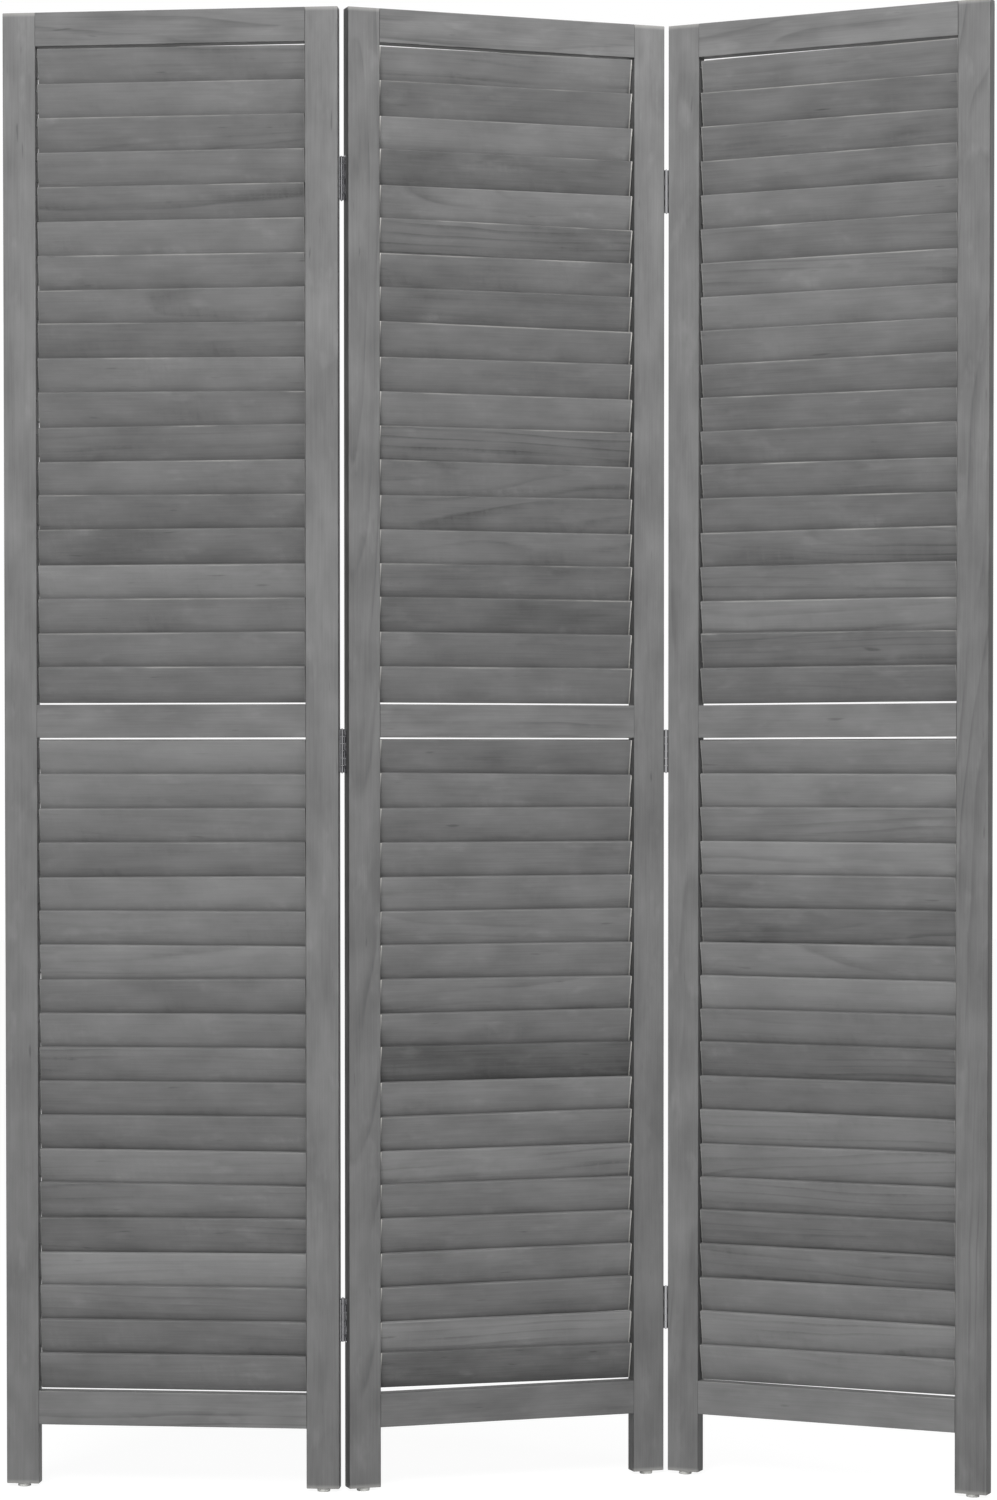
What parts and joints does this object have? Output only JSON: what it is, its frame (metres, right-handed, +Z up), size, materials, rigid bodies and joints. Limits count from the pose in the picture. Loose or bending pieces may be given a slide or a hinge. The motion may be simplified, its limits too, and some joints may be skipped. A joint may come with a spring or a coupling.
{
  "type": "folding screen",
  "caption": "Folding room divider of hinged wooden panels with fixed tilted louvre slats, standing in a zigzag on short legs with small glides.",
  "frame": {"origin": "on the floor, at the middle of the plan of the standing screen", "axes": "+Z up; -Y is the front, where the top edge of every slat leans; +X to the right seen from the front. The middle panel is turned 18 degrees about Z."},
  "size_m": [1.13, 0.1808, 1.7],
  "materials": {
    "frame_wood": "grey stain under satin lacquer, grain showing",
    "slat_wood": "grey stain under satin lacquer, grain showing",
    "dowel_wood": "bare turned beech",
    "hinge_steel": "bright nickel plate",
    "hinge_pin_steel": "drawn steel rod, nickel plate",
    "screw_steel": "nickel plate",
    "glide_nylon": "moulded nylon, slightly translucent",
    "nail_steel": "bright wire nail"
  },
  "bodies": {
    "middle_panel": {"middle_panel_left_stile": "frame_wood", "middle_panel_right_stile": "frame_wood", "middle_panel_upper_slats": "slat_wood", "middle_panel_lower_slats": "slat_wood", "middle_panel_rail_dowels": "dowel_wood", "middle_panel_slat_pins": "dowel_wood", "middle_panel_left_glide": "glide_nylon", "middle_panel_right_glide": "glide_nylon", "middle_panel_glide_nails": "nail_steel", "middle_panel_bottom_rail": "frame_wood", "middle_panel_middle_rail": "frame_wood", "middle_panel_top_rail": "frame_wood", "left_lower_hinge_inner_leaf": "hinge_steel", "left_centre_hinge_inner_leaf": "hinge_steel", "left_upper_hinge_inner_leaf": "hinge_steel", "left_lower_hinge_pin": "hinge_pin_steel", "left_centre_hinge_pin": "hinge_pin_steel", "left_upper_hinge_pin": "hinge_pin_steel", "right_lower_hinge_inner_leaf": "hinge_steel", "right_centre_hinge_inner_leaf": "hinge_steel", "right_upper_hinge_inner_leaf": "hinge_steel", "right_lower_hinge_pin": "hinge_pin_steel", "right_centre_hinge_pin": "hinge_pin_steel", "right_upper_hinge_pin": "hinge_pin_steel", "middle_panel_left_hinge_screws": "screw_steel", "middle_panel_right_hinge_screws": "screw_steel"},
    "left_panel": {"left_panel_left_stile": "frame_wood", "left_panel_right_stile": "frame_wood", "left_panel_upper_slats": "slat_wood", "left_panel_lower_slats": "slat_wood", "left_panel_rail_dowels": "dowel_wood", "left_panel_slat_pins": "dowel_wood", "left_panel_left_glide": "glide_nylon", "left_panel_right_glide": "glide_nylon", "left_panel_glide_nails": "nail_steel", "left_panel_bottom_rail": "frame_wood", "left_panel_middle_rail": "frame_wood", "left_panel_top_rail": "frame_wood", "left_lower_hinge_outer_leaf": "hinge_steel", "left_centre_hinge_outer_leaf": "hinge_steel", "left_upper_hinge_outer_leaf": "hinge_steel", "left_panel_hinge_screws": "screw_steel"},
    "right_panel": {"right_panel_left_stile": "frame_wood", "right_panel_right_stile": "frame_wood", "right_panel_upper_slats": "slat_wood", "right_panel_lower_slats": "slat_wood", "right_panel_rail_dowels": "dowel_wood", "right_panel_slat_pins": "dowel_wood", "right_panel_left_glide": "glide_nylon", "right_panel_right_glide": "glide_nylon", "right_panel_glide_nails": "nail_steel", "right_panel_bottom_rail": "frame_wood", "right_panel_middle_rail": "frame_wood", "right_panel_top_rail": "frame_wood", "right_lower_hinge_outer_leaf": "hinge_steel", "right_centre_hinge_outer_leaf": "hinge_steel", "right_upper_hinge_outer_leaf": "hinge_steel", "right_panel_hinge_screws": "screw_steel"}
  },
  "joints": [
    {"name": "left_fold", "type": "hinge", "parent": "middle_panel", "child": "left_panel", "pos_m": [-0.17525, -0.02893, 0], "axis": [0, 0, -1], "range_deg": [-34, 156]},
    {"name": "right_fold", "type": "hinge", "parent": "middle_panel", "child": "right_panel", "pos_m": [0.20384, 0.07322, 0], "axis": [0, 0, -1], "range_deg": [-53, 137]}
  ]
}
